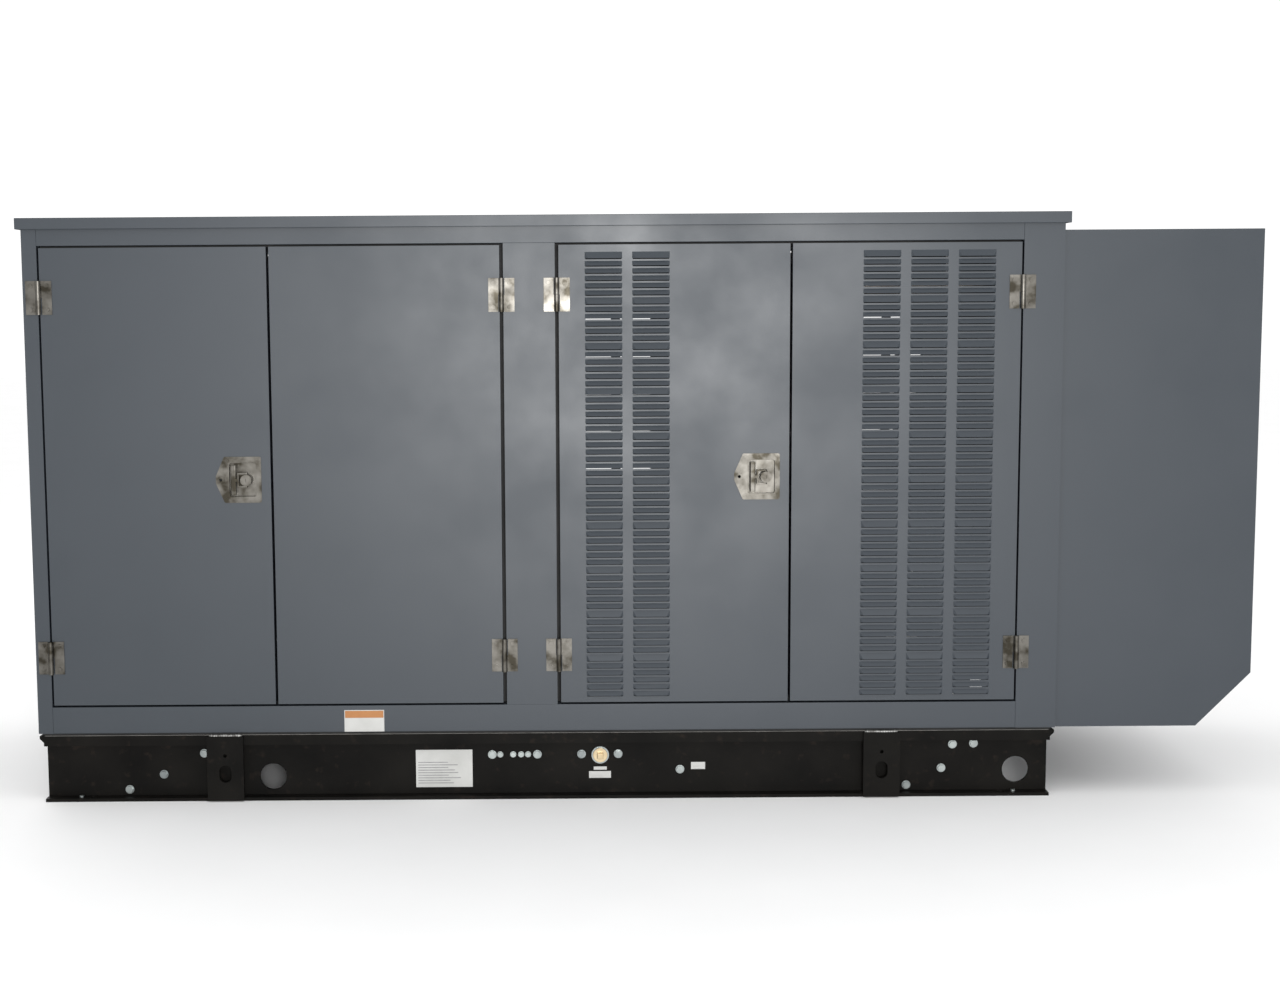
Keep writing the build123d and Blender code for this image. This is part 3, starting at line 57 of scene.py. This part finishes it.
# ---- camera: front view, 5 m before the doors, tilted down and rolled a little ----
FRONT_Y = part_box("cabinet_posts")[0].y
LENS = 52.3
CAMERA_X = 0.035
CAMERA_DISTANCE = 5.0
CAMERA_HEIGHT = 1.357
TILT_DOWN = 6.08
ROLL = 0.38
camera_data = bpy.data.cameras.new("camera")
camera_data.lens = LENS
camera_data.sensor_width = 36.0
camera_data.shift_x = 0.064
camera = bpy.data.objects.new("camera", camera_data)
scene.collection.objects.link(camera)
turn = Matrix.Rotation(math.radians(90 - TILT_DOWN), 4, "X") @ Matrix.Rotation(math.radians(-ROLL), 4, "Z")
camera.matrix_world = Matrix.Translation((CAMERA_X, FRONT_Y - CAMERA_DISTANCE, CAMERA_HEIGHT)) @ turn
scene.camera = camera


# ---- materials ----
def shader(name):
    material = bpy.data.materials.new(name)
    material.use_nodes = True
    tree = material.node_tree
    return material, tree, tree.nodes["Principled BSDF"]


def noise(tree, scale, detail=3.0, stretch=(1, 1, 1)):
    """Noise in object space, stretched along one axis for a brushed grain."""
    where = tree.nodes.new("ShaderNodeTexCoord")
    mapping = tree.nodes.new("ShaderNodeMapping")
    mapping.inputs["Scale"].default_value = stretch
    texture = tree.nodes.new("ShaderNodeTexNoise")
    texture.inputs["Scale"].default_value = scale
    texture.inputs["Detail"].default_value = detail
    tree.links.new(where.outputs["Object"], mapping.inputs["Vector"])
    tree.links.new(mapping.outputs["Vector"], texture.inputs["Vector"])
    return texture.outputs["Fac"]


def ramp(tree, source, stops):
    node = tree.nodes.new("ShaderNodeValToRGB")
    node.color_ramp.elements[0].position, node.color_ramp.elements[0].color = stops[0]
    node.color_ramp.elements[1].position, node.color_ramp.elements[1].color = stops[-1]
    for position, colour in stops[1:-1]:
        node.color_ramp.elements.new(position).color = colour
    tree.links.new(source, node.inputs["Fac"])
    return node.outputs["Color"]


def grey(value):
    return (value, value, value, 1)


def add_bump(tree, bsdf, source, strength, distance):
    bump = tree.nodes.new("ShaderNodeBump")
    bump.inputs["Strength"].default_value = strength
    bump.inputs["Distance"].default_value = distance
    tree.links.new(source, bump.inputs["Height"])
    tree.links.new(bump.outputs["Normal"], bsdf.inputs["Normal"])


def coating(name, dark, light, rough, patch=1.4, peel=900.0, peel_depth=0.00012, metal=0.0, worn=None,
            sheen=0.5):
    """Paint, plastic or cast skin: slow colour drift, uneven gloss and a fine surface texture."""
    material, tree, bsdf = shader(name)
    stops = [(0.3, (*dark, 1)), (0.7, (*light, 1))]
    colour = ramp(tree, noise(tree, patch, 6.0), stops)
    if worn:
        mix = tree.nodes.new("ShaderNodeMix")
        mix.data_type = "RGBA"
        mask = ramp(tree, noise(tree, 38.0, 8.0), [(0.60, grey(0)), (0.74, grey(1))])
        tree.links.new(mask, mix.inputs["Factor"])
        tree.links.new(colour, mix.inputs["A"])
        mix.inputs["B"].default_value = (*worn, 1)
        colour = mix.outputs["Result"]
    tree.links.new(colour, bsdf.inputs["Base Color"])
    gloss = ramp(tree, noise(tree, 5.0, 4.0), [(0.3, grey(rough - 0.05)), (0.7, grey(rough + 0.06))])
    tree.links.new(gloss, bsdf.inputs["Roughness"])
    bsdf.inputs["Metallic"].default_value = metal
    bsdf.inputs["Specular IOR Level"].default_value = sheen
    add_bump(tree, bsdf, noise(tree, peel, 2.0), 0.35, peel_depth)
    return material


def metal(name, dark, light, rough, grain=(1, 1, 40), grain_scale=60.0, depth=0.00005, tarnish_and_reflection=9.0):
    """Bare metal: a drawn grain, cloudy oxide with painted reflection in its colour and smudges in its gloss."""
    material, tree, bsdf = shader(name)
    lines = noise(tree, grain_scale, 4.0, grain)
    tarnish_and_reflection_clouds = noise(tree, tarnish_and_reflection, 3.0)
    middle = [(a + b) / 2 for a, b in zip(dark, light)]
    # colour clouds: part oxide, part painted reflection, with bright and dark patches standing in for reflected
    # surroundings
    colour = ramp(tree, tarnish_and_reflection_clouds, [(0.36, (*dark, 1)), (0.46, (*middle, 1)), (0.62, (*light, 1))])
    tree.links.new(colour, bsdf.inputs["Base Color"])
    smudge = ramp(tree, noise(tree, 22.0, 5.0), [(0.35, grey(rough)), (0.7, grey(rough + 0.16))])
    tree.links.new(smudge, bsdf.inputs["Roughness"])
    bsdf.inputs["Metallic"].default_value = 1.0
    add_bump(tree, bsdf, lines, 0.25, depth)
    return material


looks = {
    "cabinet_paint": coating("powder_coat", (0.023, 0.030, 0.038), (0.027, 0.034, 0.043), 0.42, patch=0.9),
    "base_paint": coating("chassis_black", (0.004, 0.0038, 0.0035), (0.0085, 0.0078, 0.0068), 0.42, patch=6.0,
                          peel=260.0, peel_depth=0.0004, worn=(0.014, 0.011, 0.009), sheen=0.05),
    # stainless: strong dark-to-light colour clouds, partly painted reflection
    "stainless": metal("stainless_steel", (0.038, 0.034, 0.026), (0.135, 0.128, 0.115), 0.30, depth=0.0002,
                       tarnish_and_reflection=26.0),
    "zinc": metal("zinc_plate", (0.21, 0.23, 0.23), (0.36, 0.39, 0.38), 0.34, grain=(1, 1, 1), grain_scale=120.0),
    "brass": metal("dull_brass", (0.42, 0.33, 0.20), (0.58, 0.49, 0.34), 0.34, grain=(1, 1, 1), grain_scale=90.0),
    "engine_iron": coating("engine_enamel", (0.020, 0.021, 0.023), (0.036, 0.037, 0.040), 0.48, patch=9.0,
                           peel=420.0, peel_depth=0.0006),
    "steel": metal("machined_steel", (0.34, 0.34, 0.34), (0.52, 0.52, 0.52), 0.28, grain=(40, 1, 1)),
    "alternator_paint": coating("alternator_enamel", (0.040, 0.044, 0.050), (0.060, 0.064, 0.070), 0.44,
                                patch=7.0, peel=300.0, peel_depth=0.0005),
    "cast_aluminium": coating("cast_aluminium", (0.40, 0.41, 0.42), (0.52, 0.53, 0.54), 0.46, patch=14.0,
                              peel=520.0, peel_depth=0.0005, metal=0.9),
    "black_steel": coating("satin_black", (0.012, 0.012, 0.013), (0.020, 0.020, 0.022), 0.42, patch=8.0),
    "exhaust_steel": metal("heat_tinted_steel", (0.20, 0.15, 0.11), (0.42, 0.38, 0.34), 0.42,
                           grain=(1, 1, 1), grain_scale=9.0),
    "rubber": coating("black_rubber", (0.010, 0.010, 0.010), (0.018, 0.018, 0.018), 0.72, patch=20.0,
                      peel=600.0, peel_depth=0.0003),
    "black_plastic": coating("moulded_black", (0.012, 0.012, 0.012), (0.019, 0.019, 0.019), 0.50, patch=12.0,
                             peel=1400.0),
    "control_paint": coating("control_grey", (0.42, 0.43, 0.42), (0.48, 0.49, 0.48), 0.45, patch=3.0),
    "screen_plastic": coating("screen_bezel", (0.014, 0.018, 0.022), (0.020, 0.026, 0.032), 0.22, patch=4.0),
    "red_plastic": coating("red_button", (0.42, 0.012, 0.008), (0.50, 0.018, 0.012), 0.30, patch=20.0),
}
label_paper = coating("label_paper", (0.40, 0.40, 0.385), (0.47, 0.47, 0.455), 0.55, patch=18.0)
label_amber = coating("label_amber", (0.31, 0.12, 0.03), (0.36, 0.15, 0.042), 0.50, patch=18.0)
label_grey = coating("label_grey", (0.20, 0.20, 0.20), (0.28, 0.28, 0.28), 0.55, patch=60.0)


# ---- building helpers ----
def link(name, mesh_builder, body, material):
    """Finished object from a bmesh, riding on a body."""
    mesh = bpy.data.meshes.new(name)
    mesh_builder.normal_update()
    mesh_builder.to_mesh(mesh)
    mesh_builder.free()
    piece = bpy.data.objects.new(name, mesh)
    scene.collection.objects.link(piece)
    mesh.materials.append(material)
    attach(piece, body)
    return piece


SHARP_ANGLE = math.radians(35)
MITRE_ANGLE = math.radians(100)
BEVEL_SEGMENTS = 2


def round_edges(piece, width, smooth=True):
    """Edge radii on the sharp edges between exactly two faces, so touching solids stay apart."""
    builder = bmesh.new()
    builder.from_mesh(piece.data)
    weight = builder.edges.layers.float.new("bevel_weight_edge")
    for edge in builder.edges:
        if len(edge.link_faces) == 2 and SHARP_ANGLE < edge.calc_face_angle() < MITRE_ANGLE:
            edge[weight] = 1.0
    builder.to_mesh(piece.data)
    builder.free()
    bevel = piece.modifiers.new("edge_radius", "BEVEL")
    bevel.width = width
    bevel.segments = BEVEL_SEGMENTS
    bevel.limit_method = "WEIGHT"
    bevel.harden_normals = True
    if not smooth:
        return
    for face in piece.data.polygons:
        face.use_smooth = True
    normals = piece.modifiers.new("weighted", "WEIGHTED_NORMAL")
    normals.keep_sharp = True


MERGE_DISTANCE = 1e-6
FLAT_ANGLE = math.radians(0.5)
# sheets with pressed louvres stay flat shaded: smooth shading streaks them
PRESSED_SHEETS = ("door_3_panel", "door_4_panel", "rear_panels", "left_end_panel")


def soften(name, width):
    """Stand-in for a folded or machined node: the same shape with real edge radii."""
    builder = bmesh.new()
    builder.from_mesh(nodes[name].data)
    bmesh.ops.remove_doubles(builder, verts=builder.verts, dist=MERGE_DISTANCE)
    bmesh.ops.dissolve_limit(builder, angle_limit=FLAT_ANGLE, verts=builder.verts, edges=builder.edges)
    piece = link(name + "_finished", builder, body_of_node[name], looks[slot_of[name]])
    round_edges(piece, width, smooth=name not in PRESSED_SHEETS)
    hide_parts(name)


EDGE_RADII = {
    "roof_panel": 0.0022, "cabinet_posts": 0.0016, "cabinet_rails": 0.0016, "left_end_panel": 0.0009,
    "rear_panels": 0.0009, "door_1_panel": 0.0009, "door_2_panel": 0.0009,
    "door_3_panel": 0.0006, "door_4_panel": 0.0006, "base_rail_front": 0.0025, "base_rail_rear": 0.0025,
    "lifting_brackets": 0.0015, "base_bolts": 0.0010, "fuel_inlet_plug": 0.0010, "latch_1_plate": 0.0005,
    "latch_3_plate": 0.0005, "latch_1_handle": 0.0012, "latch_3_handle": 0.0012, "frame_hinges": 0.0007,
    "door_1_hardware": 0.0007, "door_2_hardware": 0.0007, "door_3_hardware": 0.0007,
    "door_4_hardware": 0.0007, "control_box": 0.0010, "breaker_box": 0.0030, "battery": 0.0020,
    "engine_block": 0.0040, "cylinder_heads": 0.0040, "oil_pan": 0.0100, "skid_rails": 0.0030,
}
for node_name, radius in EDGE_RADII.items():
    soften(node_name, radius)
for node_name, cad_object in nodes.items():
    cad_object.data.materials.clear()
    cad_object.data.materials.append(looks[slot_of[node_name]])


def add_box(builder, low, high):
    """One box inside a bmesh."""
    low, high = Vector(low), Vector(high)
    place = Matrix.Translation((low + high) / 2) @ Matrix.Diagonal((*(high - low), 1))
    bmesh.ops.create_cube(builder, size=1, matrix=place)


# ---- labels: blank, with a plain band or rows of bars, no lettering ----
LABEL_THICK = 0.0004
BAND_INSET = 0.002
BAR_INSET = 0.006
WEB_THICK = 0.008


def label(name, x0, x1, z0, z1, y, band=None, bars=0):
    """Blank label on a face at y: a band over its top share, or thin bars of uneven length."""
    thick = LABEL_THICK
    builder = bmesh.new()
    add_box(builder, (x0, y - thick, z0), (x1, y, z1))
    piece = link(name, builder, "genset", label_paper)
    round_edges(piece, 0.00015)
    extra = bmesh.new()
    height = z1 - z0
    if band:
        add_box(extra, (x0 + BAND_INSET, y - 2 * thick, z1 - band * height),
                (x1 - BAND_INSET, y - thick, z1 - BAND_INSET))
    draw = random.Random(7)
    for row in range(bars):
        z = z0 + height * (0.10 + 0.62 * row / max(bars, 1))
        x = x0 + BAR_INSET
        end = x0 + (x1 - x0) * draw.uniform(0.55, 0.92)
        add_box(extra, (x, y - 2 * thick, z), (end, y - thick, z + height * 0.025))
    if len(extra.verts):
        link(name + "_print", extra, "genset", label_amber if band else label_grey)
    else:
        extra.free()


web_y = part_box("base_rail_front")[1].y - WEB_THICK
label("base_label", -0.362, -0.206, 0.026, 0.131, web_y, bars=9)
label("rail_label", -0.554, -0.445, 0.190, 0.250, FRONT_Y, band=0.36)
label("inlet_label_upper", 0.1285, 0.1645, 0.072, 0.081, web_y)
label("inlet_label_lower", 0.1155, 0.1760, 0.049, 0.068, web_y, bars=2)
label("ground_label", 0.397, 0.436, 0.072, 0.092, web_y, bars=2)


# ---- weld beads over the lifting brackets ----
weld_metal = metal("bare_weld", (0.10, 0.095, 0.09), (0.30, 0.30, 0.29), 0.38, grain=(1, 1, 1), tarnish_and_reflection=60.0)


WELD_RADIUS = 0.005
WELD_STEP = 0.0022
WELD_SIDES = 10


def weld_bead(name, start, end):
    """Rippled bead from start to end."""
    start, end = Vector(start), Vector(end)
    builder = bmesh.new()
    steps = int((end - start).length / WELD_STEP)
    rings = []
    for step in range(steps + 1):
        centre = start.lerp(end, step / steps)
        size = WELD_RADIUS * (1 + 0.12 * math.sin(step * 2.1) + 0.05 * math.sin(step * 0.37))
        ends = min(step, steps - step)
        size *= min(1.0, 0.3 + ends * 0.25)
        ring = []
        for side in range(WELD_SIDES):
            angle = 2 * math.pi * side / WELD_SIDES
            ring.append(builder.verts.new(centre + Vector((0, math.cos(angle), math.sin(angle))) * size))
        rings.append(ring)
    for first, second in zip(rings, rings[1:]):
        for side in range(WELD_SIDES):
            other = (side + 1) % WELD_SIDES
            builder.faces.new((first[side], second[side], second[other], first[other]))
    builder.faces.new(rings[0])
    builder.faces.new(reversed(rings[-1]))
    bmesh.ops.recalc_face_normals(builder, faces=builder.faces)
    piece = link(name, builder, "genset", weld_metal)
    for face in piece.data.polygons:
        face.use_smooth = True


bracket_low, bracket_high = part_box("lifting_brackets")
BRACKET_WIDTH = 0.100
BRACKET_THICK = 0.012
WELD_INSET = 0.004
for side_name, y in (("front", bracket_low.y + BRACKET_THICK), ("rear", bracket_high.y - BRACKET_THICK)):
    for number, x in enumerate((bracket_low.x, bracket_high.x - BRACKET_WIDTH)):
        weld_bead(f"bracket_weld_{side_name}_{number}", (x + WELD_INSET, y, bracket_high.z),
                  (x + BRACKET_WIDTH - WELD_INSET, y, bracket_high.z))


# ---- painted highlight along the sill's top edge, where it catches the light ----
sill_low, sill_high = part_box("base_rail_front")
# pale strip painted on the sill's top edge: a painted highlight, not a real deposit
painted_sill_highlight = coating("painted_sill_highlight", (0.16, 0.155, 0.145), (0.26, 0.25, 0.235), 0.80, patch=24.0, peel=500.0)
sill_highlight_strip = bmesh.new()
HIGHLIGHT_PIECE_LENGTH = 0.150
HIGHLIGHT_END_INSET = 0.014
HIGHLIGHT_THICK = 0.0003
HIGHLIGHT_WANDER = 0.0006
highlight_x0, highlight_x1 = sill_low.x + HIGHLIGHT_END_INSET, sill_high.x - HIGHLIGHT_END_INSET
highlight_count = int((highlight_x1 - highlight_x0) / HIGHLIGHT_PIECE_LENGTH)
highlight_step = (highlight_x1 - highlight_x0) / highlight_count
highlight_draw = random.Random(11)
for number in range(highlight_count):
    x = highlight_x0 + number * highlight_step
    add_box(sill_highlight_strip, (x, sill_low.y + 0.0008 + highlight_draw.uniform(0, HIGHLIGHT_WANDER), sill_high.z),
            (x + highlight_step, FRONT_Y - 0.0006, sill_high.z + HIGHLIGHT_THICK))
link("sill_painted_highlight", sill_highlight_strip, "genset", painted_sill_highlight)


# ---- radiator fins, screen glass and battery caps ----
def add_disc(builder, centre, radius, depth):
    place = Matrix.Translation(centre)
    bmesh.ops.create_cone(builder, cap_ends=True, segments=24, radius1=radius, radius2=radius, depth=depth,
                          matrix=place)


FIN_PITCH = 0.012
FIN_THICK = 0.0012
TUBE_PITCH = 0.030
TUBE_THICK = 0.004
low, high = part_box("radiator")
fin_z = (low.z + 0.062, high.z - 0.082)
fin_y = (low.y + 0.045, high.y - 0.045)
fins = bmesh.new()
for x0, x1 in ((low.x + 0.006, low.x + 0.020), (high.x - 0.020, high.x - 0.006)):
    count = int((fin_y[1] - fin_y[0]) / FIN_PITCH)
    for step in range(count + 1):
        y = fin_y[0] + step * FIN_PITCH
        add_box(fins, (x0, y, fin_z[0]), (x1, y + FIN_THICK, fin_z[1]))
    count = int((fin_z[1] - fin_z[0]) / TUBE_PITCH)
    for step in range(count + 1):
        z = fin_z[0] + step * TUBE_PITCH
        add_box(fins, (x0 + 0.002, fin_y[0], z), (x1 - 0.002, fin_y[1], z + TUBE_THICK))
link("radiator_fins", fins, "genset", looks["black_steel"])

low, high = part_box("control_screen")
glass = bmesh.new()
add_box(glass, (low.x + 0.018, low.y - 0.001, low.z + 0.016), (high.x - 0.018, low.y, high.z - 0.016))
glass_look = coating("screen_glass", (0.010, 0.022, 0.020), (0.014, 0.030, 0.026), 0.10, patch=3.0)
link("screen_glass", glass, "genset", glass_look)
KEY_COUNT = 6
KEY_WIDTH = 0.016
KEY_END_INSET = 0.026
key_pitch = (high.x - low.x - 2 * KEY_END_INSET - KEY_WIDTH) / (KEY_COUNT - 1)
keys = bmesh.new()
for step in range(KEY_COUNT):
    x = low.x + KEY_END_INSET + step * key_pitch
    add_box(keys, (x, low.y + 0.007, low.z - 0.030), (x + KEY_WIDTH, low.y + 0.012, low.z - 0.018))
piece = link("screen_keys", keys, "genset", looks["black_plastic"])
round_edges(piece, 0.001)

low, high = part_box("battery")
caps = bmesh.new()
CAP_COUNT = 6
CAP_RADIUS = 0.011
CAP_HEIGHT = 0.006
CAP_END_INSET = 0.030
lid_z = high.z - 0.017
cap_pitch = (high.x - low.x - 2 * CAP_END_INSET) / (CAP_COUNT - 1)
for step in range(CAP_COUNT):
    x = low.x + CAP_END_INSET + step * cap_pitch
    add_disc(caps, (x, (low.y + high.y) / 2 + 0.020, lid_z + CAP_HEIGHT / 2), CAP_RADIUS, CAP_HEIGHT)
link("battery_caps", caps, "genset", looks["black_plastic"])


# ---- floor and light ----
floor_mesh = bmesh.new()
bmesh.ops.create_grid(floor_mesh, x_segments=1, y_segments=1, size=30)
floor_data = bpy.data.meshes.new("floor")
floor_mesh.to_mesh(floor_data)
floor_mesh.free()
floor = bpy.data.objects.new("floor", floor_data)
scene.collection.objects.link(floor)
floor_data.materials.append(coating("pale_floor", (0.89, 0.89, 0.89), (0.91, 0.91, 0.91), 0.85, patch=2.0))

world = bpy.data.worlds.new("studio")
scene.world = world
world.use_nodes = True
world.node_tree.nodes["Background"].inputs["Color"].default_value = (1.0, 1.0, 1.0, 1)
world.node_tree.nodes["Background"].inputs["Strength"].default_value = 1.1


def softbox(name, place, aim, width, height, power):
    data = bpy.data.lights.new(name, "AREA")
    data.shape = "RECTANGLE"
    data.size, data.size_y = width, height
    data.energy = power
    light = bpy.data.objects.new(name, data)
    scene.collection.objects.link(light)
    light.location = place
    light.rotation_euler = (Vector(aim) - Vector(place)).to_track_quat("-Z", "Y").to_euler()


softbox("key", (0.50, -7.5, 1.45), (0.20, -0.5, 1.30), 1.2, 1.2, 300)
softbox("fill", (5.0, -2.5, 3.0), (0, 0, 0.8), 3.0, 3.0, 20)
softbox("back", (-3.0, 5.0, 4.0), (0, 0, 0.8), 4.0, 3.0, 60)

scene.view_settings.view_transform = "Standard"
